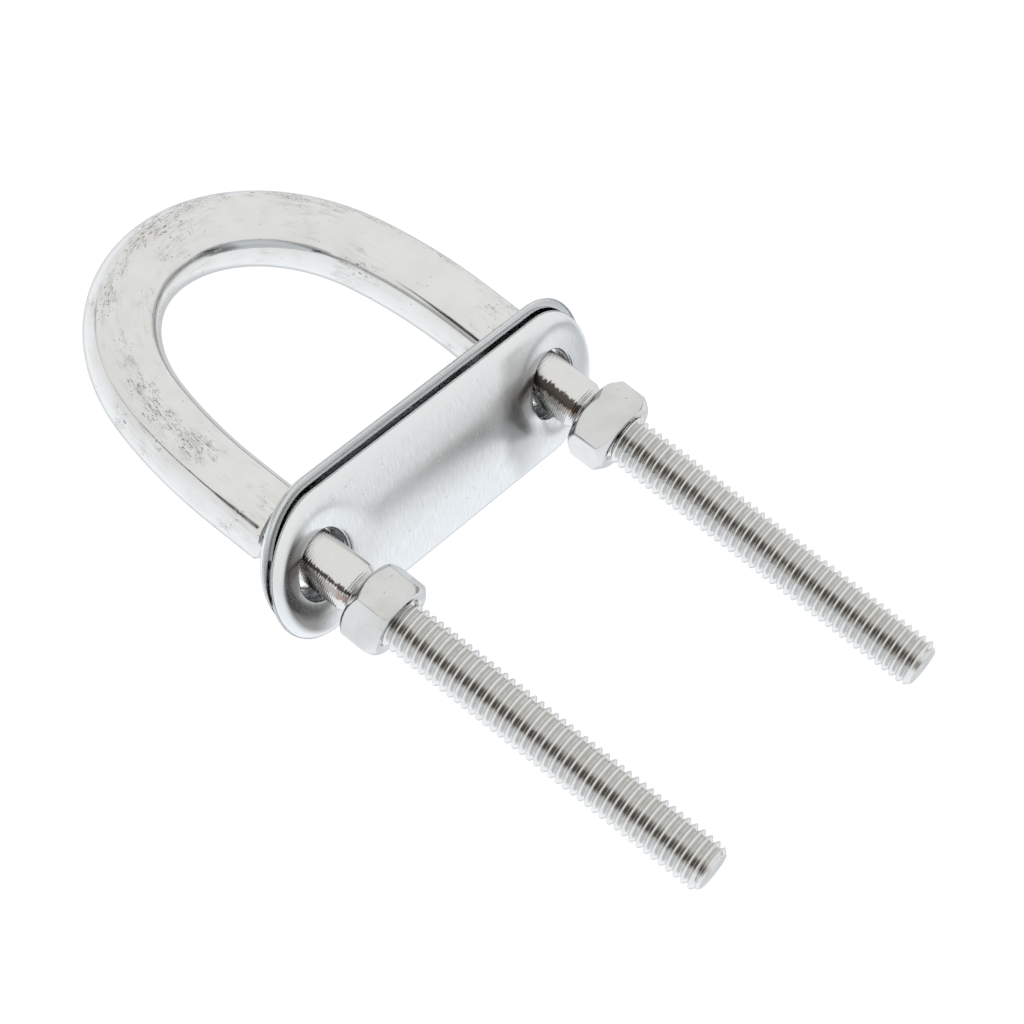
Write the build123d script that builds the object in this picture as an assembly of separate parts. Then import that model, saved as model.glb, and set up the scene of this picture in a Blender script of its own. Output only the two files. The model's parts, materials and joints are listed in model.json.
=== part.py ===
from build123d import *
from math import cos, radians, sin, tan
import os

# Bow eye (U-bolt pad eye) in stainless steel, 3/8 in - 16 UNC.
# X runs across the two legs, Y is square to the bow's plane, and Z points from the legs to the bow.
# The origin is midway between the legs, on the shoulders' end faces. All sizes are in millimetres.

# U-bolt
bar_diameter = 13.9            # round bar of the bow
leg_spacing = 68.0             # from axis to axis of the legs
crown_height = 55.75           # shoulders to the bar's centreline at the crown
crown_radius = 32.3            # centreline radius of the crown
crown_half_angle = 74.5        # degrees of crown arc on each side
shoulder_chamfer = 0.8
shank_diameter = 9.5           # plain shank, the thread's major diameter
shank_length = 27.2            # the plain cylinder also carries the nut at rest
thread_diameter = 9.1          # plain cylinder that stands for the thread
leg_length = 95.0              # shoulders to the tips
tip_chamfer = 1.1

# Plates: two equal dished pressings, open sides face to face
plate_half_width = 14.0
plate_arc_spacing = 65.6       # between the centres of the two round ends
plate_depth = 2.85
sheet_thickness = 1.6
plate_edge_radius = 2.2
hole_diameter = 13.0
hole_spacing = 68.0
hole_edge_radius = 0.8
plate_tilt = 28.5              # degrees that the loose plates lean towards -Y at rest
outer_plate_z = -4.98          # where the legs' axes cross the middle of each sheet
backing_plate_z = -10.45
outer_plate_slide = -0.6       # the loose outer plate lies this far along +X

# Nuts: plain hexagon nuts, chamfered on both faces
nut_across_flats = 14.3
nut_thickness = 8.0
nut_bore = 9.6
nut_bore_chamfer = 0.4
nut_chamfer_angle = 45.0
nut_face_share = 0.93          # diameter of the end face over the width across flats
nut_top_z = -18.9
nut_turns = {"nut_left": 41.0, "nut_right": 8.0}   # degrees from +X to a corner

# Modelling allowances
root_overlap = 1.0             # each shank runs this far up into the bar
cutter_length = 30.0           # longer than any hole is deep
radius_match = 0.01            # tolerance when an edge is picked by its radius


def bow():
    """Round bar swept along straight arms, two long arcs and the crown arc."""
    half = leg_spacing / 2
    turn = radians(crown_half_angle)
    arm_radius = (half - crown_radius * sin(turn)) / (1 - sin(turn))
    crown_centre = crown_height - crown_radius
    arm_centre_z = crown_centre + (crown_radius - arm_radius) * cos(turn)
    crown_end = (crown_radius * sin(turn), crown_centre + crown_radius * cos(turn))
    left = Line((-half, 0), (-half, arm_centre_z))
    left_arc = TangentArc((-half, arm_centre_z), (-crown_end[0], crown_end[1]), tangent=(0, 1))
    crown = ThreePointArc((-crown_end[0], crown_end[1]), (0, crown_height), crown_end)
    right_arc = TangentArc((half, arm_centre_z), crown_end, tangent=(0, 1))
    right = Line((half, arm_centre_z), (half, 0))
    path = Plane.XZ * Wire([left, left_arc, crown, right_arc, right])
    section = Location((-half, 0, 0)) * Circle(bar_diameter / 2)
    bar = sweep(section, path=path)
    ends = bar.edges().filter_by(GeomType.CIRCLE).group_by(Axis.Z)[0]
    return chamfer(ends, shoulder_chamfer)


def leg(side):
    """Plain shank and thread cylinder below one shoulder."""
    upright = (Align.CENTER, Align.CENTER, Align.MIN)
    shank = Cylinder(shank_diameter / 2, shank_length + root_overlap, align=upright)
    thread = Cylinder(thread_diameter / 2, leg_length, align=upright)
    thread = chamfer(thread.edges().group_by(Axis.Z)[0], tip_chamfer)
    whole = Location((0, 0, -leg_length)) * thread + Location((0, 0, -shank_length)) * shank
    return Location((side * leg_spacing / 2, 0, 0)) * whole


def u_bolt():
    return bow() + leg(-1) + leg(1)


def edges_of_radius(shape, radius):
    """All circular edges of a shape that have the given radius."""
    circles = shape.edges().filter_by(GeomType.CIRCLE)
    return circles.filter_by(lambda edge: abs(edge.radius - radius) < radius_match)


def dish():
    """One plate, its sheet's middle at z = 0, face up and open side down."""
    low = sheet_thickness / 2 - plate_depth
    outline = SlotCenterToCenter(plate_arc_spacing, 2 * plate_half_width)
    block = Location((0, 0, low)) * extrude(outline, plate_depth)
    block = fillet(block.edges().group_by(Axis.Z)[-1], plate_edge_radius)
    inside = SlotCenterToCenter(plate_arc_spacing, 2 * (plate_half_width - sheet_thickness))
    cavity = Location((0, 0, low)) * extrude(inside, plate_depth - sheet_thickness)
    cavity = fillet(cavity.edges().group_by(Axis.Z)[-1], plate_edge_radius - sheet_thickness)
    plate = block - cavity
    for side in (-1, 1):
        plate -= Location((side * hole_spacing / 2, 0, 0)) * Cylinder(hole_diameter / 2, cutter_length)
    rims = edges_of_radius(plate, hole_diameter / 2).group_by(Axis.Z)[-1]
    return fillet(rims, hole_edge_radius)


def leaning(shape, z):
    """Place a plate on the legs, leaning with its upper edge on the -Y side."""
    return Location((0, 0, z)) * Rotation(-plate_tilt, 0, 0) * shape


def outer_plate():
    return Location((outer_plate_slide, 0, 0)) * leaning(dish(), outer_plate_z)


def backing_plate():
    return leaning(Rotation(180, 0, 0) * dish(), backing_plate_z)


def nut(name):
    """Hexagon nut, its corners cut back by cones at both faces."""
    side = -1 if name == "nut_left" else 1
    corner = nut_across_flats / 2 / cos(radians(30))
    face = nut_face_share * nut_across_flats / 2
    drop = (corner - face) * tan(radians(nut_chamfer_angle))
    prism = extrude(RegularPolygon(corner, 6), nut_thickness)
    profile = Polyline(
        (0, 0), (face, 0), (corner, drop), (corner, nut_thickness - drop),
        (face, nut_thickness), (0, nut_thickness), close=True,
    )
    envelope = revolve(Plane.XZ * make_face(profile), Axis.Z)
    body = (prism & envelope) - Cylinder(nut_bore / 2, cutter_length)
    body = chamfer(edges_of_radius(body, nut_bore / 2), nut_bore_chamfer)
    place = Location((side * leg_spacing / 2, 0, nut_top_z - nut_thickness))
    return place * Rotation(0, 0, nut_turns[name]) * body


def main():
    os.makedirs("parts", exist_ok=True)
    export_step(u_bolt(), "parts/u_bolt.step")
    export_step(outer_plate(), "parts/outer_plate.step")
    export_step(backing_plate(), "parts/backing_plate.step")
    for name in nut_turns:
        export_step(nut(name), f"parts/{name}.step")


main()
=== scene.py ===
import json
from math import asin, atan2, ceil, cos, degrees, floor, hypot, pi, radians, sin, sqrt, tan

import bpy
from mathutils import Matrix, Vector, noise

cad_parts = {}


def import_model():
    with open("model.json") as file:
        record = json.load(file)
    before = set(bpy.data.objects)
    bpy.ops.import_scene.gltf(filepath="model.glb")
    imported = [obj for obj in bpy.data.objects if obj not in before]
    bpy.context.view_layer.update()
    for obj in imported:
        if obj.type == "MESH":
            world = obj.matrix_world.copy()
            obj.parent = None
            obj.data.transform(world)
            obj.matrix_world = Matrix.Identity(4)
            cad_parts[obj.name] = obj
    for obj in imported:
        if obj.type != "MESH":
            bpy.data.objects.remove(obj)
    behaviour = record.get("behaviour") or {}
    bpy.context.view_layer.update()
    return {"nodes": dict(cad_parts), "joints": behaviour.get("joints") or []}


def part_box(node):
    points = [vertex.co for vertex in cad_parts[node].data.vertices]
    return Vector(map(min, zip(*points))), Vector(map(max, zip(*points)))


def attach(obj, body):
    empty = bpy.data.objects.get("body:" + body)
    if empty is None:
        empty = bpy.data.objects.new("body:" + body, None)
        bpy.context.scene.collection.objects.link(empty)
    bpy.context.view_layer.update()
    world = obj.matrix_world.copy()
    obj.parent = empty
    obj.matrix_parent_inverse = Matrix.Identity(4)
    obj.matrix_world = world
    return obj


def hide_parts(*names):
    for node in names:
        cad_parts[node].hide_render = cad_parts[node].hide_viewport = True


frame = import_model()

# Bow eye: a U-bolt with two dished plates and two nuts, in polished stainless steel.
# All lengths are in metres, in the CAD frame: X across the legs, Z from the legs to the bow.
MM = 0.001

# ------------------------------ sizes taken from the frame
bolt_low, bolt_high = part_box("u_bolt")
bar_radius = bolt_high.y
leg_x = bolt_high.x - bar_radius  # each leg's axis is this far from the middle
crown_z = bolt_high.z - bar_radius  # centreline of the bar at the crown
tip_z = bolt_low.z
joints = {joint["name"]: joint for joint in frame["joints"]}
plate_tilt = radians(joints["outer_plate_tilt"]["range_deg"][1] / 2)
plate_middle = {}  # each plate's middle in X
for plate_node in ("outer_plate", "backing_plate"):
    plate_low, plate_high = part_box(plate_node)
    plate_middle[plate_node] = (plate_low.x + plate_high.x) / 2

# ------------------------------ sizes of the details
# Bow
crown_radius = 32.3 * MM
crown_half_angle = radians(74.5)
shoulder_chamfer = 0.8 * MM
bar_segments = 64
ring_step = 1.6 * MM  # spacing of the rings along the bow
bar_waviness = 0.012 * MM  # hand polishing leaves the bar a little uneven
bar_wave_length = 9.0 * MM

# Legs
shank_radius = 4.75 * MM
shank_end = -16.7 * MM
relief_radius = 4.1 * MM
relief_end = -17.9 * MM
thread_pitch = 1.5875 * MM  # 16 threads to the inch
thread_crest = 4.73 * MM
thread_root = 3.82 * MM
thread_rows = 12  # rows of points in each pitch
crest_share = 0.17  # of half a pitch, rounded off at the crest
root_share = 0.12  # and in the root
rounding_share = 0.06  # of the thread's depth that each rounding takes
same_height = 0.0001 * MM  # heights closer than this are taken as one
thread_lead_in = 1.0 * MM  # the first crests rise over this length
tip_chamfer_slope = tan(radians(45))
tip_radius = 3.62 * MM
# Rows of a leg's profile: (distance below the shoulder, extra radius) at the corner,
# (height above the shank's end, change of radius) at the relief's upper edge.
shoulder_fillet = ((0.02 * MM, 0.9 * MM), (0.05 * MM, 0.25 * MM), (0.30 * MM, 0.0))
shank_rows = (-4.0 * MM, -8.0 * MM, -12.0 * MM)
relief_edge = ((0.12 * MM, 0.0), (0.03 * MM, -0.03 * MM), (-0.10 * MM, -0.12 * MM))
relief_fillet = (0.12 * MM, 0.06 * MM)
crest_start = {-1: -30.9 * MM, 1: -30.1 * MM}  # a crest on the side that faces (+X, -Y)
crest_side = atan2(-0.685, 0.7286)

# Plates
plate_half_width = 14.0 * MM
plate_arc_x = 32.8 * MM  # centres of the round ends
plate_depth = 3.35 * MM  # from the crest to the rim
sheet = 1.6 * MM
plate_crown_radius = 52.0 * MM  # the face is slightly arched
plate_crest = 1.3 * MM  # top of the arch above the middle of the CAD sheet
edge_start = 11.9 * MM  # the rounded edge begins this far from the middle line
edge_slope = radians(80)  # slope of the sheet at the rim
hole_radius = 6.5 * MM
hole_x = 34.0 * MM
funnel_depth = 1.55 * MM  # the punched hole draws the sheet inwards
funnel_width = 8.0 * MM
funnel_power = 2.4
funnel_end_share = 0.5  # of the rounded edge, where the funnel has died out
lip_round = 0.45 * MM
rim_round = 0.3 * MM

# Nuts
nut_apothem = 7.15 * MM
nut_face_radius = 6.65 * MM
nut_chamfer = radians(45)
nut_corner_round = 0.8 * MM
nut_edge_round = 0.16 * MM
nut_face_margin = 0.3 * MM  # flat ring kept just inside the chamfer
nut_bore_mouth = 4.95 * MM
nut_bore_chamfer = 0.25 * MM
nut_bore_round = ((0.25 * MM, 0.03 * MM), (0.32 * MM, 0.0))  # extra radius and depth at the mouth's edge
nut_thread_start = 0.75 * MM  # below each face
nut_thread_fade = 0.6 * MM
nut_thread_root = 4.80 * MM
nut_thread_crest = 4.05 * MM

# ------------------------------ colours and marks
# Colours of the metals, as the share of light that they return
steel = (0.610, 0.612, 0.606)
warm_steel = (0.585, 0.580, 0.565)
bright_steel = (0.700, 0.708, 0.708)
plate_steel = (0.672, 0.690, 0.704)
plate_shade = (0.600, 0.612, 0.622)
nut_steel = (0.545, 0.547, 0.545)
nut_shade = (0.505, 0.503, 0.495)
# Brown of real marks and smears, also used for the painted dull reflection band on the shanks
stain_and_reflection_brown = (0.210, 0.170, 0.140)
pit_colour = (0.130, 0.115, 0.100)
rust_colour = (0.230, 0.095, 0.055)
reflection_streak_colour = (0.050, 0.038, 0.030)
# Dark of the painted reflection streak on the shanks
tip_shade = (0.420, 0.415, 0.405)
# Grey of the painted dark reflections on the plates
reflection_grey = (0.200, 0.192, 0.184)
# Brown of grime in the thread roots, also used for the painted dark reflection streak on the threads
thread_grime_and_reflection = (0.170, 0.150, 0.132)
# Where the painted reflections of the legs lie beside the plates' holes
crescent_reflection_direction = radians(-12)  # from the -X side of a hole
right_crescent_reflection_turn = 0.36  # how far the right hole's crescent is turned, in radians
# Where the painted dark reflection streak runs down the legs, and how it differs on the right leg
streak_reflection_direction = radians(-152)  # from +X, seen from above
right_streak_reflection_turn = 0.06
right_streak_reflection_growth = 1.6  # how much wider the right leg's streak is
marks_angles = (118, 242)  # degrees round the bar from the inside of the bow
scratch_sets = ((0.5, 1.1, 0.70), (1.2, 0.9, 0.71), (2.3, 1.3, 0.71), (1.75, 0.8, 0.72))
# Middle of the painted dark reflection band along the plates
reflection_band_centre = 3.0  # millimetres from the plate's middle line


# ------------------------------ mesh building
class Shell:
    """Points and faces of one mesh, with a coordinate in metres along and around each face's surface."""

    def __init__(self):
        self.points = []
        self.faces = []
        self.uvs = []
        self.slots = []
        self.shared = {}

    def point(self, position):
        self.points.append(Vector(position))
        return len(self.points) - 1

    def shared_point(self, position):
        """A point that is made once, however often it is asked for."""
        key = tuple(round(value / same_height) for value in position)
        if key not in self.shared:
            self.shared[key] = self.point(position)
        return self.shared[key]

    def face(self, corners, uvs, slot=0):
        """Add a face, leaving out corners that fall on the one before."""
        kept = [k for k in range(len(corners)) if corners[k] != corners[k - 1]]
        if len({corners[k] for k in kept}) < 3:
            return
        self.faces.append([corners[k] for k in kept])
        self.uvs.append([uvs[k] for k in kept])
        self.slots.append(slot)

    def band(self, first, second, u_first, u_second, width, slot=0):
        """Join two closed rings of points; width is the distance around."""
        count = len(first)
        for k in range(count):
            n = (k + 1) % count
            v0 = width * k / count
            v1 = width * (k + 1) / count
            self.face(
                [first[k], first[n], second[n], second[k]],
                [(u_first, v0), (u_first, v1), (u_second, v1), (u_second, v0)],
                slot,
            )

    def build(self, name, materials, move=Matrix.Identity(4)):
        mesh = bpy.data.meshes.new(name)
        mesh.from_pydata([move @ p for p in self.points], [], self.faces)
        layer = mesh.uv_layers.new(name="surface")
        for polygon, uvs, slot in zip(mesh.polygons, self.uvs, self.slots):
            polygon.use_smooth = True
            polygon.material_index = slot
            for loop, uv in zip(polygon.loop_indices, uvs):
                layer.data[loop].uv = (uv[0] / MM, uv[1] / MM)
        for material in materials:
            mesh.materials.append(material)
        mesh.validate()
        piece = bpy.data.objects.new(name, mesh)
        bpy.context.scene.collection.objects.link(piece)
        return piece


def keep_flats_flat(piece):
    """Weighted normals, so that large faces stay flat and narrow edge bands look rounded."""
    modifier = piece.modifiers.new("flats", "WEIGHTED_NORMAL")
    modifier.weight = 100
    modifier.keep_sharp = True


def ring_around(shell, centre_x, z, radius, count):
    """Closed ring of points about a leg's axis, in the order of their angle from +X."""
    ring = []
    for k in range(count):
        angle = 2 * pi * k / count
        ring.append(shell.point((centre_x + radius * cos(angle), radius * sin(angle), z)))
    return ring


def thread_profile(phase, crest, root):
    """Radius of a rolled thread at a phase of 0 (crest) to 0.5 (root) to 1."""
    side = min(phase, 1 - phase) * 2
    if side < crest_share:
        share = rounding_share * (side / crest_share) ** 2
    elif side > 1 - root_share:
        share = 1 - rounding_share * ((1 - side) / root_share) ** 2
    else:
        flank = (side - crest_share) / (1 - crest_share - root_share)
        share = rounding_share + (1 - 2 * rounding_share) * flank
    return crest + (root - crest) * share


def threaded_band(shell, centre_x, low, high, low_ring, high_ring, crest_z, crest, root, limit, slot):
    """Helical surface between two rings. limit(z) gives the least and the greatest radius at a height."""
    count = len(low_ring)
    rows = thread_rows
    start = crest_z + floor((low - thread_pitch - crest_z) / thread_pitch) * thread_pitch
    made = {}

    def corner(row, column):
        if column == count:
            return corner(row + rows, 0)
        z = start + thread_pitch * (row / rows + column / count)
        if z <= low + same_height:
            return low_ring[column]
        if z >= high - same_height:
            return high_ring[column]
        if (row, column) not in made:
            least, greatest = limit(z)
            radius = thread_profile((row % rows) / rows, crest, root)
            radius = max(least, min(greatest, radius))
            angle = 2 * pi * column / count
            made[row, column] = shell.point(
                (centre_x + radius * cos(angle), radius * sin(angle), z)
            )
        return made[row, column]

    total = ceil((high - start) / thread_pitch + 1) * rows
    outward = crest > root
    for row in range(total):
        for column in range(count):
            corners = [
                corner(row, column),
                corner(row, column + 1),
                corner(row + 1, column + 1),
                corner(row + 1, column),
            ]
            u0 = thread_pitch * row / rows
            u1 = thread_pitch * (row + 1) / rows
            v0 = 2 * pi * crest * column / count
            v1 = 2 * pi * crest * (column + 1) / count
            uvs = [(u0, v0), (u0, v1), (u1, v1), (u1, v0)]
            if not outward:
                corners.reverse()
                uvs.reverse()
            shell.face(corners, uvs, slot)


def crest_height(side):
    """Height of one of a leg's crests on the side that faces +X."""
    return crest_start[side] - thread_pitch * (crest_side % (2 * pi)) / (2 * pi)


# ------------------------------ U-bolt
def bow_path():
    """Points and tangent angles along the bar's centreline, from the left shoulder to the right one."""
    arm_radius = (leg_x - crown_radius * sin(crown_half_angle)) / (1 - sin(crown_half_angle))
    crown_centre = crown_z - crown_radius
    arm_z = crown_centre + (crown_radius - arm_radius) * cos(crown_half_angle)
    arm_turn = pi / 2 - crown_half_angle
    path = []
    steps = ceil(arm_z / ring_step)
    for k in range(steps):
        path.append((-leg_x, arm_z * k / steps, 0.0))
    steps = ceil(arm_radius * arm_turn / ring_step)
    for k in range(steps):
        turn = arm_turn * k / steps
        path.append((-leg_x + arm_radius * (1 - cos(turn)), arm_z + arm_radius * sin(turn), turn))
    steps = ceil(crown_radius * crown_half_angle / ring_step)
    for k in range(steps + 1):
        turn = arm_turn + crown_half_angle * k / steps
        path.append((-crown_radius * cos(turn), crown_centre + crown_radius * sin(turn), turn))
    mirrored = [(-x, z, pi - turn) for x, z, turn in reversed(path[:-1])]
    return path + mirrored


def bar_point(x, z, turn, angle, radius):
    """Point on the bar's surface: angle 0 faces the inside of the bow, 90 degrees faces +Y."""
    inward = Vector((cos(turn), 0, -sin(turn)))
    out = inward * cos(angle) + Vector((0, 1, 0)) * sin(angle)
    centre = Vector((x, 0, z))
    wave = noise.noise((centre + out * radius) / bar_wave_length)
    return centre + out * (radius - bar_waviness * (1 + wave))


def bow(shell):
    """The bar from shoulder to shoulder. Returns its two end rings in the order of angle from +X."""
    path = bow_path()
    chamfer_left = (-leg_x, shoulder_chamfer, 0.0)
    chamfer_right = (leg_x, shoulder_chamfer, pi)
    path = [path[0], chamfer_left] + path[1:-1] + [chamfer_right, path[-1]]
    rings = []
    lengths = []
    length = 0.0
    previous = path[0]
    for x, z, turn in path:
        length += hypot(x - previous[0], z - previous[1])
        previous = (x, z)
        radius = bar_radius - max(0.0, shoulder_chamfer - z)
        ring = []
        for k in range(bar_segments):
            angle = 2 * pi * k / bar_segments
            ring.append(shell.point(bar_point(x, z, turn, angle, radius)))
        rings.append(ring)
        lengths.append(length)
    width = 2 * pi * bar_radius
    for k in range(len(rings) - 1):
        shell.band(rings[k], rings[k + 1], lengths[k], lengths[k + 1], width)
    half = bar_segments // 2
    left = rings[0]
    right = [rings[-1][(half - k) % bar_segments] for k in range(bar_segments)]
    return left, right


def leg(shell, side, shoulder):
    """Shank, thread and tip below one shoulder ring."""
    x = side * leg_x
    count = bar_segments
    width = 2 * pi * shank_radius
    rows = [(-down, shank_radius + extra) for down, extra in shoulder_fillet]
    rows += [(z, shank_radius) for z in shank_rows]
    rows += [(shank_end + up, shank_radius + extra) for up, extra in relief_edge]
    rows.append((relief_end + relief_fillet[0], relief_radius + relief_fillet[1]))
    rows.append((relief_end, relief_radius))
    above = shoulder
    above_z = 0.0
    for z, radius in rows:
        ring = ring_around(shell, x, z, radius, count)
        shell.band(ring, above, z, above_z, width, 1)
        above = ring
        above_z = z

    def limit(z):
        rise = (relief_end - z) / thread_lead_in
        greatest = relief_radius + (thread_crest - relief_radius) * min(1, max(0, rise))
        greatest = min(greatest, tip_radius + (z - tip_z) * tip_chamfer_slope)
        least = relief_radius - (relief_radius - thread_root) * min(1, max(0, rise * 2))
        return min(least, greatest), greatest

    tip_ring = ring_around(shell, x, tip_z, tip_radius, count)
    crest_z = crest_height(side)
    threaded_band(
        shell, x, tip_z, relief_end, tip_ring, above, crest_z, thread_crest, thread_root, limit, 2
    )
    outer = tip_ring
    reach = tip_radius
    for share in (0.97, 0.7, 0.35):
        ring = ring_around(shell, x, tip_z, tip_radius * share, count)
        shell.band(ring, outer, tip_radius * share, reach, width, 3)
        outer = ring
        reach = tip_radius * share
    centre = shell.point((x, 0, tip_z))
    for k in range(count):
        n = (k + 1) % count
        shell.face([outer[n], outer[k], centre], [(reach, 0), (reach, MM), (0, 0)], 3)


def u_bolt(materials):
    """The whole forging; its slots are bar, shank, thread and tip."""
    shell = Shell()
    left, right = bow(shell)
    leg(shell, -1, left)
    leg(shell, 1, right)
    return shell.build("u_bolt_forging", materials)


# ------------------------------ plates
def crown_drop(reach):
    """Fall of the arched face at a distance from the middle line."""
    return plate_crown_radius - sqrt(plate_crown_radius ** 2 - reach ** 2)


def funnel_drop(distance):
    """How far the sheet is drawn in at a distance from the hole's edge."""
    if distance >= funnel_width:
        return 0.0
    share = 1 - distance / funnel_width
    return funnel_depth * share ** funnel_power


def lip_drop(distance):
    """Rounding of the face into the hole."""
    if distance >= lip_round:
        return 0.0
    rest = 1 - distance / lip_round
    return lip_round * (1 - sqrt(max(0.0, 1 - rest * rest)))


def face_drop(place):
    """Fall of a plate's face below its crest at a place on it, without the holes' lips."""
    beyond = max(0.0, abs(place.x) - plate_arc_x)
    reach = hypot(beyond, place.y)
    distance = hypot(abs(place.x) - hole_x, place.y) - hole_radius
    return crown_drop(reach) + funnel_drop(distance)


def half_outline():
    """Boundary of the right half of a plate's face, anticlockwise, with each point's outward direction
    (None on the middle line)."""
    outline = []
    straight_steps = 16
    arc_steps = 56
    middle_steps = 18
    for k in range(straight_steps):
        outline.append((Vector((plate_arc_x * k / straight_steps, -edge_start)), Vector((0, -1))))
    for k in range(arc_steps + 1):
        angle = -pi / 2 + pi * k / arc_steps
        out = Vector((cos(angle), sin(angle)))
        outline.append((Vector((plate_arc_x, 0)) + out * edge_start, out))
    for k in range(1, straight_steps + 1):
        outline.append((Vector((plate_arc_x * (1 - k / straight_steps), edge_start)), Vector((0, 1))))
    for k in range(1, middle_steps):
        outline.append((Vector((0, edge_start - 2 * edge_start * k / middle_steps)), None))
    return outline


def edge_profile():
    """The turned-down edge from the face to the underside: (outward distance, drop below the crest)."""
    start_slope = asin(edge_start / plate_crown_radius)
    width = plate_half_width - edge_start - rim_round * (1 - sin(edge_slope))
    outer = width / (sin(edge_slope) - sin(start_slope))
    inner = outer - sheet
    start_drop = crown_drop(edge_start)
    centre = (-outer * sin(start_slope), start_drop + outer * cos(start_slope))
    profile = []
    steps = 12
    for k in range(steps + 1):
        angle = start_slope + (edge_slope - start_slope) * k / steps
        profile.append((centre[0] + outer * sin(angle), centre[1] - outer * cos(angle)))
    low = plate_depth
    corner = profile[-1]
    profile.append((corner[0] + (low - rim_round - corner[1]) / tan(edge_slope), low - rim_round))
    rim = profile[-1][0]
    for k in range(1, 6):
        angle = pi / 2 * k / 5
        profile.append((rim - rim_round * (1 - cos(angle)), low - rim_round * (1 - sin(angle))))
    inner_rim = rim - sheet
    for k in range(5):
        angle = pi / 2 * k / 5
        profile.append((inner_rim + rim_round * (1 - sin(angle)), low - rim_round * (1 - cos(angle))))
    steps = 7
    for k in range(steps + 1):
        angle = edge_slope + (start_slope - edge_slope) * k / steps
        profile.append((centre[0] + inner * sin(angle), centre[1] - inner * cos(angle)))
    return profile


def stations(span):
    """Distances from the hole's edge to the edge of the face, closer together at the lip."""
    lip = [lip_round * (1 - cos(pi / 2 * k / 6)) for k in range(7)]
    rest = 16
    return lip + [lip_round + (span - lip_round) * (k / rest) ** 1.25 for k in range(1, rest + 1)]


def pressed_plate(shell):
    """One dished plate with two drawn holes, face up, the middle of its sheet at z = 0."""
    outline = half_outline()
    profile = edge_profile()
    crest = plate_crest
    centre = Vector((hole_x, 0))
    for side in (-1, 1):
        columns = []
        for place, out in outline:
            toward = (place - centre).normalized()
            span = (place - centre).length - hole_radius
            top = []
            under = []
            for distance in stations(span):
                flat = centre + toward * (hole_radius + distance)
                height = crest - face_drop(flat)
                top.append((flat, height - lip_drop(distance)))
                under.append((flat, height - sheet))
            edge = []
            if out is not None:
                for reach, drop in profile[1:-1]:
                    edge.append((place + out * reach, crest - drop - funnel_fade(place, reach)))
            wall = [(top[0][0], top[0][1] - sheet * 0.3), (top[0][0], under[0][1] + lip_round * 0.5)]
            under[0] = (centre + toward * (hole_radius + lip_round * 0.5), under[0][1])
            columns.append((top, edge, under, wall))
        add_half(shell, columns, outline, side)


def funnel_fade(place, reach):
    """The last of the funnel's fall, which dies out over the first part of the rounded edge."""
    distance = hypot(abs(place.x) - hole_x, place.y) - hole_radius
    end = funnel_end_share * (plate_half_width - edge_start)
    return funnel_drop(distance) * max(0.0, 1 - reach / end)


def add_half(shell, columns, outline, side):
    """Faces of one half of a plate from its columns of points."""

    count = len(columns)
    for k in range(count):
        n = (k + 1) % count
        on_edge = outline[k][1] is not None and outline[n][1] is not None
        on_edge = on_edge and not (outline[k][0].x == 0 and outline[n][0].x == 0)
        here, there = columns[k], columns[n]
        tops = [column[0] for column in (here, there)]
        walls = [[column[2][0]] + column[3][::-1] + [column[0][0]] for column in (here, there)]
        unders = [column[2] for column in (here, there)]
        quads_between(shell, tops[0], tops[1], side, side, 0)
        quads_between(shell, walls[0], walls[1], side, side, 1)
        quads_between(shell, unders[0], unders[1], side, -side, 0)
        if on_edge:
            edges = [[column[0][-1]] + column[1] + [column[2][-1]] for column in (here, there)]
            quads_between(shell, edges[0], edges[1], side, side, 0)


def quads_between(shell, first, second, side, turn, slot):
    """Faces between two equally long columns of (flat place, height)."""
    for k in range(len(first) - 1):
        places = [first[k], first[k + 1], second[k + 1], second[k]]
        uvs = [(side * flat.x, flat.y) for flat, height in places]
        corners = [shell.shared_point((side * flat.x, flat.y, height)) for flat, height in places]
        if turn < 0:
            corners.reverse()
            uvs.reverse()
        shell.face(corners, uvs, slot)


def plate(name, turned_over, middle, height, materials):
    """A pressed plate in its place at rest, leaning on the legs."""
    shell = Shell()
    pressed_plate(shell)
    move = Matrix.Translation((middle, 0, height)) @ Matrix.Rotation(-plate_tilt, 4, "X")
    if turned_over:
        move = move @ Matrix.Rotation(pi, 4, "X")
    return shell.build(name, materials, move)


# ------------------------------ nuts
def corner_angle(node, x):
    """Angle of a corner of a CAD nut from +X."""
    far = max(
        frame["nodes"][node].data.vertices,
        key=lambda vertex: hypot(vertex.co.x - x, vertex.co.y),
    )
    return atan2(far.co.y, far.co.x - x)


def hexagon_radius(angle):
    """Distance from the axis to the rounded hexagon; angle 0 is a corner."""
    from_corner = (angle + pi / 6) % (pi / 3) - pi / 6
    to_flat = pi / 6 - abs(from_corner)
    sharp = nut_apothem / cos(to_flat)
    centre = (nut_apothem - nut_corner_round) / cos(pi / 6)
    swing = abs(from_corner)
    inside = nut_corner_round ** 2 - (centre * sin(swing)) ** 2
    if inside <= 0:
        return sharp
    rounded = centre * cos(swing) + sqrt(inside)
    return min(sharp, rounded)


def nut_columns():
    """Angles of the columns of points from one corner round the nut; the rounding ends on a column."""
    half_facet = nut_apothem * tan(pi / 6)
    flat_end = half_facet - nut_corner_round * tan(pi / 6)
    turn = 30 - degrees(atan2(flat_end, nut_apothem))
    rounding = [turn * k / 5 for k in range(6)]
    middle = [10, 20, 30, 40, 50]
    within = rounding + middle + [60 - offset for offset in rounding[:0:-1]]
    return [radians(60 * facet + offset) for facet in range(6) for offset in within]


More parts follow.
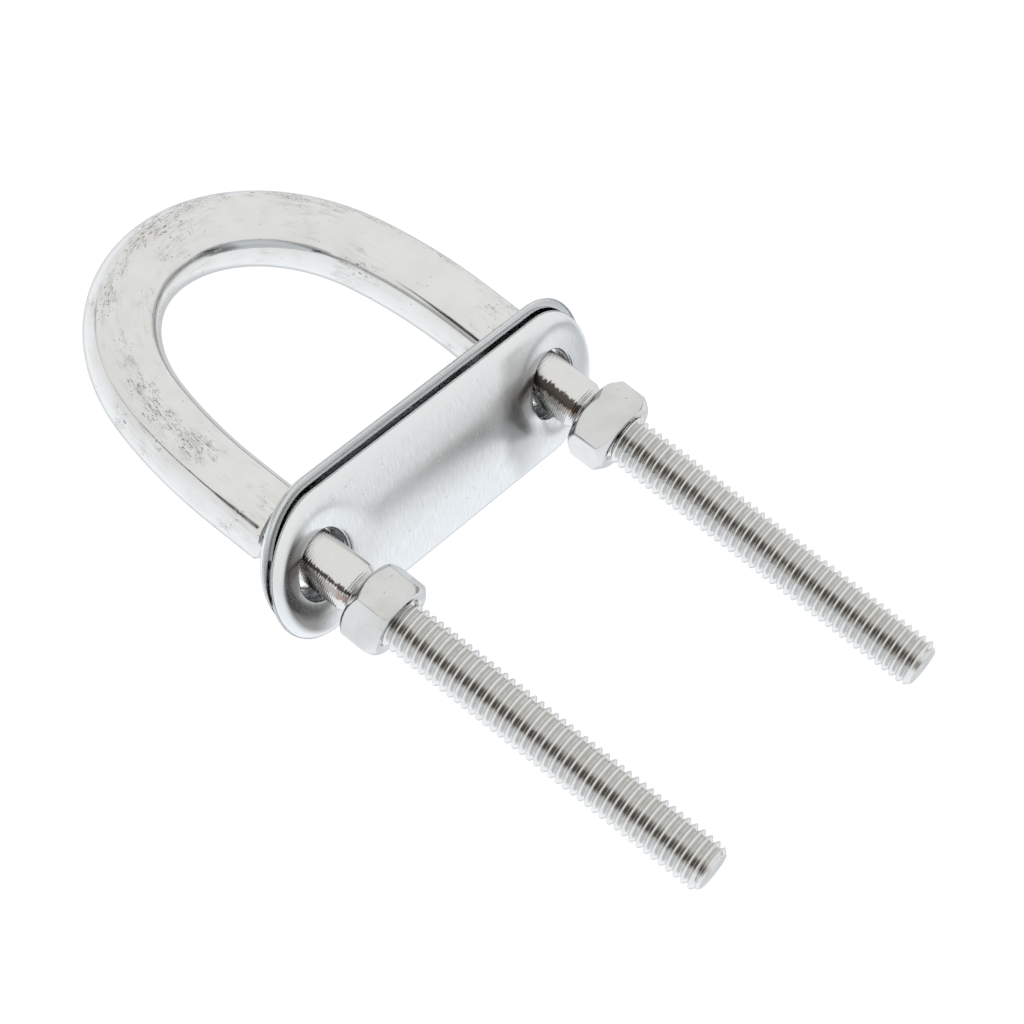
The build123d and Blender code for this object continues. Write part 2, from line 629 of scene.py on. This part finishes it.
def nut(name, node, side, materials):
    """A chamfered hexagon nut with an inside thread that fits its leg's thread."""
    low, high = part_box(node)
    x = side * leg_x
    turn = corner_angle(node, x)
    shell = Shell()
    angles = nut_columns()
    slope = tan(nut_chamfer)

    def ring(radius_at, z_at):
        made = []
        for angle in angles:
            radius = radius_at(angle)
            z = z_at(angle)
            made.append(shell.point(
                (x + radius * cos(angle + turn), radius * sin(angle + turn), z)
            ))
        return made

    def level(radius, depth):
        """A round ring at one depth below the face."""
        return ring(lambda a: radius, lambda a: face_z + sign * depth)

    def drop(angle):
        return (hexagon_radius(angle) - nut_face_radius) * slope

    def on_chamfer(share):
        """A ring part of the way down the chamfer, from the end face's edge to the facets."""
        def radius(angle):
            return nut_face_radius + (hexagon_radius(angle) - nut_face_radius) * share
        return radius, lambda angle: (radius(angle) - nut_face_radius) * slope

    soft = nut_edge_round
    rings = []
    for sign, face_z in ((1, low.z), (-1, high.z)):
        rows = [
            level(nut_bore_mouth, nut_bore_chamfer),
            level(nut_bore_mouth + nut_bore_round[0][0], nut_bore_round[0][1]),
            level(nut_bore_mouth + nut_bore_round[1][0], nut_bore_round[1][1]),
            level(nut_face_radius - nut_face_margin, 0.0),
            level(nut_face_radius - soft * 0.5, soft * 0.1),
        ]
        for share in (0.14, 0.5, 0.86):
            radius, fall = on_chamfer(share)
            rows.append(ring(radius, lambda a: face_z + sign * (fall(a) + soft * 0.12)))
        rows.append(ring(
            lambda a: hexagon_radius(a) - soft * 0.12,
            lambda a: face_z + sign * (drop(a) + soft * 0.5),
        ))
        rows.append(ring(hexagon_radius, lambda a: face_z + sign * (drop(a) + soft * 1.5)))
        if sign > 0:
            rings += rows
        else:
            rings += rows[::-1]
    width = 2 * pi * nut_apothem
    reach = 0.0
    for k in range(len(rings) - 1):
        step = (shell.points[rings[k][0]] - shell.points[rings[k + 1][0]]).length
        shell.band(rings[k], rings[k + 1], reach, reach + step, width)
        reach += step

    count = bar_segments
    thread_low = low.z + nut_thread_start
    thread_high = high.z - nut_thread_start
    bottom = ring_around(shell, x, thread_low, nut_thread_root, count)
    top = ring_around(shell, x, thread_high, nut_thread_root, count)
    mouth_low = ring_around(shell, x, low.z + nut_bore_chamfer, nut_bore_mouth, count)
    mouth_high = ring_around(shell, x, high.z - nut_bore_chamfer, nut_bore_mouth, count)
    around = 2 * pi * nut_bore_mouth
    shell.band(bottom, mouth_low, 0, nut_thread_start, around, 1)
    shell.band(mouth_high, top, 0, nut_thread_start, around, 1)
    inside_crest = crest_height(side) + thread_pitch / 2

    def limit(z):
        near = min(z - thread_low, thread_high - z) / nut_thread_fade
        least = nut_thread_root + (nut_thread_crest - nut_thread_root) * min(1, max(0, near))
        return least, nut_thread_root

    threaded_band(
        shell, x, thread_low, thread_high, bottom, top,
        inside_crest, nut_thread_crest, nut_thread_root, limit, 1,
    )
    piece = shell.build(name, materials)
    keep_flats_flat(piece)
    return piece


# ------------------------------ materials
def colour_socket(sockets, name):
    """The colour input or output of a mixing node with this name."""
    return next(socket for socket in sockets if socket.name == name and socket.type == "RGBA")


class Nodes:
    """Short methods that add nodes to a tree; a value is an output to link or a plain setting."""

    def __init__(self, tree):
        self.tree = tree

    def add(self, kind):
        return self.tree.nodes.new(kind)

    def put(self, value, socket):
        """Link an output, or set a plain value."""
        if isinstance(value, bpy.types.NodeSocket):
            self.tree.links.new(value, socket)
        else:
            socket.default_value = value

    def math(self, operation, *values):
        node = self.add("ShaderNodeMath")
        node.operation = operation
        for value, socket in zip(values, node.inputs):
            self.put(value, socket)
        return node.outputs[0]

    def times(self, first, second):
        return self.math("MULTIPLY", first, second)

    def minus(self, first, second):
        return self.math("SUBTRACT", first, second)

    def most(self, first, second):
        return self.math("MAXIMUM", first, second)

    def line(self, value, slope, offset):
        return self.math("MULTIPLY_ADD", value, slope, offset)

    def gap(self, first, second):
        return self.math("ABSOLUTE", self.minus(first, second))

    def length(self, x, y):
        return self.math("SQRT", self.line(x, x, self.times(y, y)))

    def step(self, value, low, high, start=0.0, end=1.0):
        """Smooth step from start to end as the value goes from low to high."""
        node = self.add("ShaderNodeMapRange")
        node.interpolation_type = "SMOOTHSTEP"
        for setting, socket in zip((value, low, high, start, end), node.inputs):
            self.put(setting, socket)
        return node.outputs[0]

    def axis(self, vector, k):
        node = self.add("ShaderNodeSeparateXYZ")
        self.put(vector, node.inputs[0])
        return node.outputs[k]

    def blend(self, share, first, second):
        """Mix two colours."""
        node = self.add("ShaderNodeMix")
        node.data_type = "RGBA"
        self.put(share, node.inputs["Factor"])
        for value, name in ((first, "A"), (second, "B")):
            plain = not isinstance(value, bpy.types.NodeSocket)
            self.put((*value, 1.0) if plain else value, colour_socket(node.inputs, name))
        return colour_socket(node.outputs, "Result")

    def ramp(self, value, stops):
        """Colours at places from 0 to 1, with straight changes between them."""
        node = self.add("ShaderNodeValToRGB")
        self.put(value, node.inputs[0])
        elements = node.color_ramp.elements
        elements.remove(elements[1])
        for k, (place, colour) in enumerate(stops):
            element = elements[0] if k == 0 else elements.new(place)
            element.position = place
            element.color = (*colour, 1.0)
        return node.outputs["Color"]


class Surface(Nodes):
    """A metal and its pattern, with lengths in millimetres."""

    def __init__(self, name, base, roughness):
        self.material = bpy.data.materials.new(name)
        self.material.use_nodes = True
        super().__init__(self.material.node_tree)
        self.shader = self.tree.nodes["Principled BSDF"]
        self.shader.inputs["Metallic"].default_value = 1.0
        self.shader.inputs["Base Color"].default_value = (*base, 1.0)
        self.shader.inputs["Roughness"].default_value = roughness
        place = self.add("ShaderNodeTexCoord").outputs["Object"]
        self.place = self.scaled(place, (1 / MM, 1 / MM, 1 / MM))
        flat = self.add("ShaderNodeUVMap")
        flat.uv_map = "surface"
        self.flat = flat.outputs[0]

    def scaled(self, vector, factors):
        node = self.add("ShaderNodeVectorMath")
        node.operation = "MULTIPLY"
        self.put(vector, node.inputs[0])
        node.inputs[1].default_value = factors
        return node.outputs[0]

    def moved(self, vector, source, amount):
        """Shift a coordinate by a noise colour, so that regular shapes become ragged."""
        centred = self.add("ShaderNodeVectorMath")
        centred.operation = "MULTIPLY_ADD"
        self.put(source, centred.inputs[0])
        centred.inputs[1].default_value = (amount, amount, amount)
        self.put(vector, centred.inputs[2])
        return centred.outputs[0]

    def turned(self, vector, angle):
        node = self.add("ShaderNodeVectorRotate")
        node.rotation_type = "Z_AXIS"
        self.put(vector, node.inputs["Vector"])
        node.inputs["Angle"].default_value = angle
        return node.outputs[0]

    def noise(self, vector, size, detail=2.0, rough=0.5, colour=False):
        node = self.add("ShaderNodeTexNoise")
        self.put(vector, node.inputs["Vector"])
        node.inputs["Scale"].default_value = 1 / size
        node.inputs["Detail"].default_value = detail
        node.inputs["Roughness"].default_value = rough
        return node.outputs["Color" if colour else "Fac"]

    def cells(self, vector, size):
        """Distance to the nearest cell's centre, and a random value of that cell."""
        node = self.add("ShaderNodeTexVoronoi")
        self.put(vector, node.inputs["Vector"])
        node.inputs["Scale"].default_value = 1 / size
        split = self.add("ShaderNodeSeparateColor")
        self.put(node.outputs["Color"], split.inputs[0])
        return node.outputs["Distance"], split.outputs[0]

    def colour(self, value):
        self.put(value, self.shader.inputs["Base Color"])

    def roughness(self, value):
        self.put(value, self.shader.inputs["Roughness"])

    def bump(self, height, depth):
        """Add relief: the height's whole range of 1 stands for this depth."""
        node = self.add("ShaderNodeBump")
        node.inputs["Strength"].default_value = 1.0
        node.inputs["Distance"].default_value = depth * MM
        self.put(height, node.inputs["Height"])
        if self.shader.inputs["Normal"].is_linked:
            self.put(self.shader.inputs["Normal"].links[0].from_socket, node.inputs["Normal"])
        self.put(node.outputs[0], self.shader.inputs["Normal"])


def pits(surface, size, density, seed, source=None):
    """Small ragged pits. Density is the share of cells that hold one."""
    source = source or surface.place
    wobble = surface.noise(source, size * 0.8, 2.0, 0.6, colour=True)
    place = surface.moved(source, wobble, size * 1.4)
    place = surface.moved(place, (1.0, 1.0, 1.0), seed)
    distance, chance = surface.cells(place, size)
    present = surface.math("LESS_THAN", chance, density)
    return surface.times(surface.step(distance, 0.42, 0.16), present)


def bar_metal():
    """Polished forging: lines drawn along the bar, streaky clouds of fine dark marks, rubbed smudges."""
    s = Surface("polished_bar", steel, 0.07)
    around = s.axis(s.flat, 1)
    circumference = 2 * pi * bar_radius / MM
    cloud = s.noise(s.place, 11.0, 3.0, 0.6)
    patch = s.noise(s.place, 3.2, 2.0, 0.6)
    # marks lie thickest in a band on the outer shoulder of the curve, on both faces
    band = 0.0
    for angle in marks_angles:
        off = s.gap(around, circumference * angle / 360)
        band = s.most(s.step(off, 3.4, 0.6), band)
    curved = s.step(s.axis(s.place, 2), 8.0, 20.0)
    band = s.times(band, s.line(curved, 0.7, 0.3))
    busy = s.line(band, 0.24, s.line(patch, 0.5, cloud))
    # short dark streaks
    streak = s.noise(s.scaled(s.flat, (0.55, 3.4, 1.0)), 1.0, 4.0, 0.75)
    reach = s.line(s.step(busy, 0.72, 1.02), -0.26, 0.80)
    mark = s.step(streak, reach, s.math("ADD", reach, 0.06))
    # fine pits in the same clouds
    density = s.step(busy, 0.78, 1.06, 0.003, 0.40)
    drawn = s.scaled(s.flat, (0.55, 1.0, 1.0))
    large = pits(s, 0.62, s.times(density, 0.22), 17.0, drawn)
    pit = s.most(pits(s, 0.27, density, 3.0, drawn), large)
    # lines drawn along the bar
    lines = s.noise(s.scaled(s.flat, (0.05, 2.6, 1.0)), 1.0, 3.0, 0.65)
    rub = s.noise(s.scaled(s.flat, (0.10, 0.9, 1.0)), 1.0, 4.0, 0.65)
    rubbed = s.times(s.step(rub, 0.52, 0.70), s.step(cloud, 0.42, 0.62))
    tint = s.blend(s.step(s.noise(s.place, 6.0, 2.0), 0.35, 0.7), steel, warm_steel)
    tint = s.blend(s.times(rubbed, 0.20), tint, stain_and_reflection_brown)
    tint = s.blend(s.times(mark, 0.65), tint, pit_colour)
    smudge = s.step(s.noise(s.scaled(s.flat, (0.22, 1.1, 1.0)), 1.0, 3.0, 0.65), 0.42, 0.75)
    smudge = s.times(smudge, s.step(busy, 0.66, 1.0))
    tint = s.blend(s.times(smudge, 0.34), tint, pit_colour)
    tint = s.blend(s.times(pit, 0.75), tint, pit_colour)
    s.colour(tint)
    rough = s.line(rubbed, 0.20, s.step(lines, 0.3, 0.7, 0.05, 0.12))
    s.roughness(s.line(s.most(pit, mark), 0.25, rough))
    s.bump(s.noise(s.scaled(s.flat, (0.02, 0.5, 1.0)), 1.0, 1.0), 0.035)
    s.bump(s.noise(s.place, 1.5, 2.0, 0.55), 0.004)
    s.bump(lines, 0.0018)
    s.bump(rub, 0.006)
    s.bump(s.times(s.most(pit, mark), -1.0), 0.035)
    return s.material


def turning_marks(s, along, spacing, raggedness):
    """Ridges round a turned part, broken up a little."""
    wander = s.noise(s.place, 0.9, 2.0)
    phase = s.line(along, 2 * pi / spacing, s.times(wander, raggedness))
    return s.line(s.math("SINE", phase), 0.5, 0.5)


def reflection_streak_along(s, direction, width, teeth_size, growth=0.0, softness=0.4):
    """Painted dark reflection down one side of both legs, at an angle from +X; its edges are toothed by
    the tool marks.
    """
    across = s.math("ABSOLUTE", s.axis(s.place, 0))
    right = s.math("GREATER_THAN", s.axis(s.place, 0), 0.0)
    side = s.line(right, 2.0, -1.0)
    off_x = s.times(s.minus(across, leg_x / MM), side)
    angle = s.math("ARCTAN2", s.axis(s.place, 1), off_x)
    turn = s.minus(angle, s.line(right, right_streak_reflection_turn, direction))
    wrapped = s.math("ABSOLUTE", s.math("ARCSINE", s.math("SINE", turn)))
    facing = s.math("GREATER_THAN", s.math("COSINE", turn), 0.0)
    teeth = s.noise(s.scaled(s.place, (0.5, 0.5, 1 / teeth_size)), 1.0, 3.0, 0.7)
    edge = s.line(s.minus(teeth, 0.5), 0.5, wrapped)
    reach = s.line(right, width * growth, width)
    return s.times(s.step(edge, reach, s.times(reach, 1 - softness)), facing)


def shank_metal():
    """Turned shank: fine tool rings, a painted dark reflection streak and a wider painted dull reflection
    band down one side, and a little brown rust at its end.
    """
    s = Surface("turned_shank", steel, 0.14)
    along = s.axis(s.flat, 0)
    rings = turning_marks(s, along, 0.40, 6.5)
    fine = s.noise(s.scaled(s.flat, (6.0, 0.22, 1.0)), 1.0, 3.0, 0.6)
    streak = reflection_streak_along(s, streak_reflection_direction, 0.10, 0.30, right_streak_reflection_growth)
    # Painted dull reflection band beside the streak; the rust at the shank's end lies in it
    dull = reflection_streak_along(s, streak_reflection_direction - 0.28, 0.22, 0.5)
    height = s.axis(s.place, 2)
    end = s.step(height, (shank_end + 1.3 * MM) / MM, (shank_end + 0.2 * MM) / MM)
    rust = s.times(s.times(end, dull), s.step(s.noise(s.place, 1.3, 2.0), 0.42, 0.56))
    tint = s.blend(s.step(fine, 0.4, 0.75), steel, warm_steel)
    tint = s.blend(s.times(rings, 0.12), tint, stain_and_reflection_brown)
    # Painted reflection: the dull band, then the dark streak
    tint = s.blend(s.times(dull, 0.55), tint, stain_and_reflection_brown)
    tint = s.blend(s.times(streak, 0.95), tint, reflection_streak_colour)
    s.colour(s.blend(s.times(rust, 0.40), tint, rust_colour))
    s.roughness(s.line(streak, 0.15, s.step(fine, 0.3, 0.7, 0.10, 0.20)))
    s.bump(rings, 0.012)
    s.bump(fine, 0.006)
    return s.material


def thread_metal():
    """Rolled thread: bright worn crests with fine lines, a little brown in the roots, and a painted dark
    reflection streak down one side.
    """
    s = Surface("rolled_thread", steel, 0.2)
    phase = s.math("FRACT", s.math("DIVIDE", s.axis(s.flat, 0), thread_pitch / MM))
    depth = s.times(s.math("MINIMUM", phase, s.minus(1.0, phase)), 2.0)
    grime = s.noise(s.place, 2.4, 3.0, 0.6)
    root = s.step(s.line(grime, 0.3, depth), 0.98, 1.22)
    flank = s.step(depth, 0.10, 0.35)
    # Painted dark reflection down one side of the legs, strongest on the flanks
    streak = reflection_streak_along(s, streak_reflection_direction + 0.18, 0.42, 1.6, 0.0, 0.95)
    blotch = s.step(s.noise(s.place, 1.6, 2.0, 0.6), 0.64, 0.74)
    grime_and_reflection = s.line(blotch, 0.14, s.times(root, 0.30))
    streak = s.times(streak, s.line(flank, 0.66, 0.16))
    grime_and_reflection = s.most(grime_and_reflection, streak)
    tint = s.blend(s.step(grime, 0.35, 0.7), steel, warm_steel)
    s.colour(s.blend(s.math("MINIMUM", grime_and_reflection, 1.0), tint, thread_grime_and_reflection))
    fine = s.noise(s.scaled(s.flat, (1.0, 0.04, 1.0)), 0.16, 2.0)
    s.roughness(s.line(root, 0.2, s.step(fine, 0.3, 0.7, 0.12, 0.22)))
    s.bump(fine, 0.010)
    s.bump(s.noise(s.place, 0.6, 2.0), 0.006)
    return s.material


def tip_metal():
    """Sawn and faced end, with fine slanting lines."""
    s = Surface("cut_tip", bright_steel, 0.3)
    slanted = s.turned(s.place, radians(35))
    lines = s.noise(s.scaled(slanted, (0.25, 6.0, 1.0)), 1.0, 3.0, 0.6)
    wide = s.noise(s.place, 2.0, 2.0)
    tint = s.blend(s.step(lines, 0.35, 0.7), bright_steel, tip_shade)
    s.colour(s.blend(s.step(wide, 0.45, 0.8), tint, tip_shade))
    s.roughness(s.step(lines, 0.3, 0.7, 0.22, 0.38))
    s.bump(lines, 0.016)
    return s.material


def scratches(s, angle, size, cut):
    """Thin scratches in one direction, sparse and of limited length."""
    turned = s.turned(s.flat, angle)
    line = s.noise(s.scaled(turned, (0.35, 9.0, 1.0)), size, 1.0)
    gate = s.noise(turned, size * 5.0, 1.0)
    return s.times(s.step(line, cut, cut + 0.05), s.step(gate, 0.52, 0.62))


def painted_leg_reflection(s):
    """Painted dark reflections of the legs and nuts: soft dull crescents on one side of each hole."""
    x = s.axis(s.flat, 0)
    y = s.axis(s.flat, 1)
    on_right = s.math("GREATER_THAN", x, 0.0)

    def by_side(left, right):
        return s.line(on_right, right - left, left)

    off = s.minus(by_side(-hole_x / MM, hole_x / MM), x)
    distance = s.length(off, y)
    wander = s.minus(s.noise(s.flat, 5.0, 2.0), 0.5)
    distance = s.line(wander, 3.0, s.minus(distance, hole_radius / MM))
    direction = by_side(crescent_reflection_direction, crescent_reflection_direction + right_crescent_reflection_turn)
    around = s.gap(s.math("ARCTAN2", y, off), direction)
    near = s.step(distance, by_side(-0.8, 0.6), by_side(1.6, 3.4))
    far = s.step(distance, by_side(11.5, 13.5), by_side(7.0, 9.0))
    facing = s.step(around, by_side(1.60, 1.45), by_side(0.80, 0.30))
    return s.times(s.times(s.times(near, far), facing), by_side(0.90, 0.56))


def plate_metal():
    """Satin sheet: short grain across the plate, a few bright scratches and dark specks, painted dark
    reflections of the legs beside the holes and a painted dark reflection band along the plate.
    """
    s = Surface("satin_plate", plate_steel, 0.28)
    grain = s.noise(s.scaled(s.flat, (4.5, 0.40, 1.0)), 1.0, 3.0, 0.6)
    soft = s.noise(s.scaled(s.flat, (0.10, 0.22, 1.0)), 1.0, 2.0)
    marks = 0.0
    for angle, size, cut in scratch_sets:
        marks = s.most(scratches(s, angle, size, cut), marks)
    x = s.axis(s.flat, 0)
    y = s.axis(s.flat, 1)
    x_off = s.most(s.minus(s.math("ABSOLUTE", x), plate_arc_x / MM), 0.0)
    reach = s.length(x_off, y)
    on_face = s.step(reach, (edge_start + 1.2 * MM) / MM, (edge_start - 0.2 * MM) / MM)
    grain = s.line(s.minus(grain, 0.5), on_face, 0.5)
    marks = s.times(marks, on_face)
    specks = pits(s, 0.5, s.step(s.noise(s.place, 6.0, 2.0), 0.5, 0.75, 0.003, 0.05), 5.0)
    tint = s.blend(s.step(grain, 0.3, 0.72), plate_steel, plate_shade)
    tint = s.blend(s.times(marks, 0.6), tint, bright_steel)
    # Painted dark reflections of the legs and nuts beside the holes
    tint = s.blend(s.times(painted_leg_reflection(s), on_face), tint, reflection_grey)
    # a painted dark reflection: a wide dull band along the plate, stronger towards +X
    off_band = s.gap(y, reflection_band_centre)
    painted_reflection_band = s.times(s.step(off_band, 9.0, 1.0), s.step(x, -34.0, 24.0))
    painted_reflection_band = s.times(painted_reflection_band, on_face)
    tint = s.blend(s.times(painted_reflection_band, 0.30), tint, reflection_grey)
    s.colour(s.blend(s.times(specks, 0.55), tint, pit_colour))
    rough = s.line(soft, 0.06, s.step(grain, 0.3, 0.7, 0.15, 0.24))
    s.roughness(s.line(marks, 0.12, rough))
    s.bump(s.noise(s.scaled(s.flat, (0.05, 0.14, 1.0)), 1.0, 1.0), 0.05)
    s.bump(grain, 0.0016)
    s.bump(marks, 0.005)
    s.bump(s.times(specks, -1.0), 0.02)
    return s.material


def cut_edge_metal():
    """Sheared wall of a punched hole: lines through the sheet."""
    s = Surface("sheared_edge", steel, 0.3)
    lines = s.noise(s.scaled(s.place, (2.2, 2.2, 0.3)), 1.0, 3.0, 0.6)
    s.colour(s.blend(s.step(lines, 0.35, 0.7), steel, stain_and_reflection_brown))
    s.roughness(s.step(lines, 0.3, 0.7, 0.25, 0.4))
    s.bump(lines, 0.02)
    return s.material


def nut_metal():
    """Bright nut: slightly uneven facets with faint marks."""
    s = Surface("bright_nut", nut_steel, 0.09)
    wide = s.noise(s.place, 4.2, 2.0, 0.5)
    fine = s.noise(s.scaled(s.place, (1.0, 1.0, 0.25)), 0.35, 3.0, 0.6)
    smear = s.step(s.noise(s.place, 2.6, 3.0, 0.6), 0.60, 0.78)
    specks = pits(s, 0.6, 0.008, 29.0)
    tint = s.blend(s.step(wide, 0.35, 0.7), nut_steel, nut_shade)
    tint = s.blend(s.times(smear, 0.10), tint, stain_and_reflection_brown)
    s.colour(s.blend(s.times(specks, 0.5), tint, pit_colour))
    s.roughness(s.line(smear, 0.08, s.step(fine, 0.3, 0.7, 0.08, 0.15)))
    s.bump(wide, 0.02)
    s.bump(fine, 0.0016)
    s.bump(s.times(specks, -1.0), 0.015)
    return s.material


# ------------------------------ pieces
thread = thread_metal()
bolt = u_bolt([bar_metal(), shank_metal(), thread, tip_metal()])
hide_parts("u_bolt")
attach(bolt, "bolt")

plate_materials = [plate_metal(), cut_edge_metal()]
for node in ("outer_plate", "backing_plate"):
    height = joints[node + "_tilt"]["pos_m"][2]
    turned_over = node == "backing_plate"
    piece = plate(node + "_pressing", turned_over, plate_middle[node], height, plate_materials)
    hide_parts(node)
    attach(piece, node)

nut_materials = [nut_metal(), thread]
for node, side in (("nut_left", -1), ("nut_right", 1)):
    piece = nut(node + "_hex", node, side, nut_materials)
    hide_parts(node)
    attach(piece, node)


# ------------------------------ studio
camera_place = Vector((-0.48037, -0.51365, -0.19780))
camera_right = Vector((0.5773, -0.2837, -0.7656))
camera_up = Vector((0.4738, -0.6473, 0.5971))
camera_back = Vector((-0.665, -0.7074, -0.2393))
camera_lens = 145.26  # millimetres
sensor_width = 36.0
clip_start = 0.01
floor_size = 30.0
floor_height = -0.26
floor_colour = (0.9, 0.9, 0.9)
floor_roughness = 0.9
light_size = 0.5
light_power = 6.0  # watts
light_place = Vector((-0.25, -0.55, 0.55))
light_aim = Vector((0, 0, -0.02))
room_strength = 1.5
backdrop_colour = (0.215, 0.220, 0.228)
behind_edge = 0.72
behind_share = 0.60
gap_colour = (0.035, 0.028, 0.024)
paper_strength = 1.02  # the white that the camera sees behind the subject
height_scale = 60.0  # degrees that fill a channel of the gap's ramp
width_scale = 20.0
# The room's colours from straight down (0, towards +Y) to straight up (1, towards -Y)
room_colours = [
    (0.00, (0.93, 0.96, 1.00)),
    (0.22, (0.90, 0.925, 0.955)),
    (0.40, (0.84, 0.86, 0.875)),
    (0.49, (0.78, 0.79, 0.79)),
    (0.56, (0.785, 0.787, 0.782)),
    (0.70, (0.800, 0.800, 0.788)),
    (1.00, (0.815, 0.815, 0.802)),
]
# The dark gap at the horizon: (azimuth, elevation, half width, darkness), angles in degrees.
# Azimuth 0 is +Z and 90 is +X, and elevation is measured from -Y.
horizon_gap = [
    (-180, 0, 4.0, 0.15), (-150, 6, 4.0, 0.10), (-140, 12, 3.0, 0.0),
    (-90, 14, 1.5, 0.0), (-84, 13, 1.6, 0.9), (-79, 10.5, 2.8, 1.0),
    (-76, 10.0, 3.0, 1.0), (-74, 9.0, 6.5, 1.0), (-73.1, 10.5, 5.0, 1.0),
    (-72.6, 11.0, 2.4, 1.0), (-71, 10.5, 2.2, 1.0), (-66, 10.5, 1.6, 0.9),
    (-60, 7.5, 1.5, 0.9), (-54, 4.5, 1.4, 0.85), (-48, 0.5, 1.3, 0.5),
    (-36, -0.5, 1.6, 0.45), (-30, -3, 1.5, 0.2), (-12, -5, 1.8, 0.2),
    (-3, -5, 2.2, 0.45), (6, -5, 2.2, 0.35), (12, -5, 2.0, 0.0),
    (72, -3, 2.0, 0.1), (90, 1, 3.0, 0.15), (110, -4, 3.2, 0.5),
    (130, -5, 3.6, 0.62), (148, -3, 3.0, 0.18), (165, 0, 3.0, 0.03),
    (180, 0, 4.0, 0.15),
]


def camera():
    data = bpy.data.cameras.new("camera")
    data.lens = camera_lens
    data.sensor_width = sensor_width
    data.clip_start = clip_start
    made = bpy.data.objects.new("camera", data)
    axes = Matrix((camera_right, camera_up, camera_back)).transposed()
    made.matrix_world = Matrix.Translation(camera_place) @ axes.to_4x4()
    bpy.context.scene.collection.objects.link(made)
    bpy.context.scene.camera = made


def world():
    """A white room for the reflections: table below, soft boxes above, and a dark gap at the horizon."""
    made = bpy.data.worlds.new("studio")
    bpy.context.scene.world = made
    made.use_nodes = True
    made.node_tree.nodes.clear()
    n = Nodes(made.node_tree)

    def background(colour, strength):
        node = n.add("ShaderNodeBackground")
        n.put(colour, node.inputs["Color"])
        node.inputs["Strength"].default_value = strength
        return node.outputs[0]

    direction = n.add("ShaderNodeTexCoord").outputs["Generated"]
    x, y, z = [n.axis(direction, k) for k in range(3)]
    elevation = n.times(n.math("ARCSINE", n.times(y, -1.0)), 180 / pi)
    azimuth = n.times(n.math("ARCTAN2", x, z), 180 / pi)
    room = n.ramp(n.line(elevation, 1 / 180, 0.5), room_colours)

    # The room is darker straight behind the subject, which draws its outline.
    behind = n.add("ShaderNodeVectorMath")
    behind.operation = "DOT_PRODUCT"
    n.put(direction, behind.inputs[0])
    behind.inputs[1].default_value = -camera_back
    dark = n.step(behind.outputs["Value"], behind_edge, 1.0, 0.0, behind_share)
    room = n.blend(dark, room, backdrop_colour)

    # The gap's height, width and darkness are held in the three channels of one ramp.
    gap = []
    for place, height, width, depth in horizon_gap:
        held = (0.5 + height / height_scale, width / width_scale, depth)
        gap.append((place / 360 + 0.5, held))
    shape = n.add("ShaderNodeSeparateColor")
    n.put(n.ramp(n.line(azimuth, 1 / 360, 0.5), gap), shape.inputs[0])
    height = n.line(shape.outputs[0], height_scale, -height_scale / 2)
    width = n.times(shape.outputs[1], width_scale)
    away = n.gap(elevation, height)
    near = n.step(away, n.times(width, 0.5), n.times(width, 1.5), 1.0, 0.0)
    room = n.blend(n.times(near, shape.outputs[2]), room, gap_colour)

    mix = n.add("ShaderNodeMixShader")
    n.put(n.add("ShaderNodeLightPath").outputs["Is Camera Ray"], mix.inputs[0])
    n.put(background(room, room_strength), mix.inputs[1])
    n.put(background((1, 1, 1, 1), paper_strength), mix.inputs[2])
    n.put(mix.outputs[0], n.add("ShaderNodeOutputWorld").inputs[0])


def floor_plane():
    """A plain pale floor, well below the subject."""
    size = floor_size
    z = floor_height
    mesh = bpy.data.meshes.new("studio_floor")
    corners = [(-size, -size, z), (size, -size, z), (size, size, z), (-size, size, z)]
    mesh.from_pydata(corners, [], [(0, 1, 2, 3)])
    made = bpy.data.objects.new("studio_floor", mesh)
    bpy.context.scene.collection.objects.link(made)
    material = bpy.data.materials.new("pale_floor")
    material.use_nodes = True
    shader = material.node_tree.nodes["Principled BSDF"]
    shader.inputs["Base Color"].default_value = (*floor_colour, 1.0)
    shader.inputs["Roughness"].default_value = floor_roughness
    mesh.materials.append(material)
    made.visible_glossy = False


def soft_light():
    """A large soft box high above, for a faint shadow and a little shading; it isn't mirrored."""
    data = bpy.data.lights.new("soft_box", "AREA")
    data.shape = "SQUARE"
    data.size = light_size
    data.energy = light_power
    made = bpy.data.objects.new("soft_box", data)
    made.location = light_place
    toward = light_aim - light_place
    made.rotation_euler = toward.to_track_quat("-Z", "Y").to_euler()
    made.visible_glossy = False
    bpy.context.scene.collection.objects.link(made)


camera()
world()
floor_plane()
soft_light()
bpy.context.scene.view_settings.view_transform = "Standard"
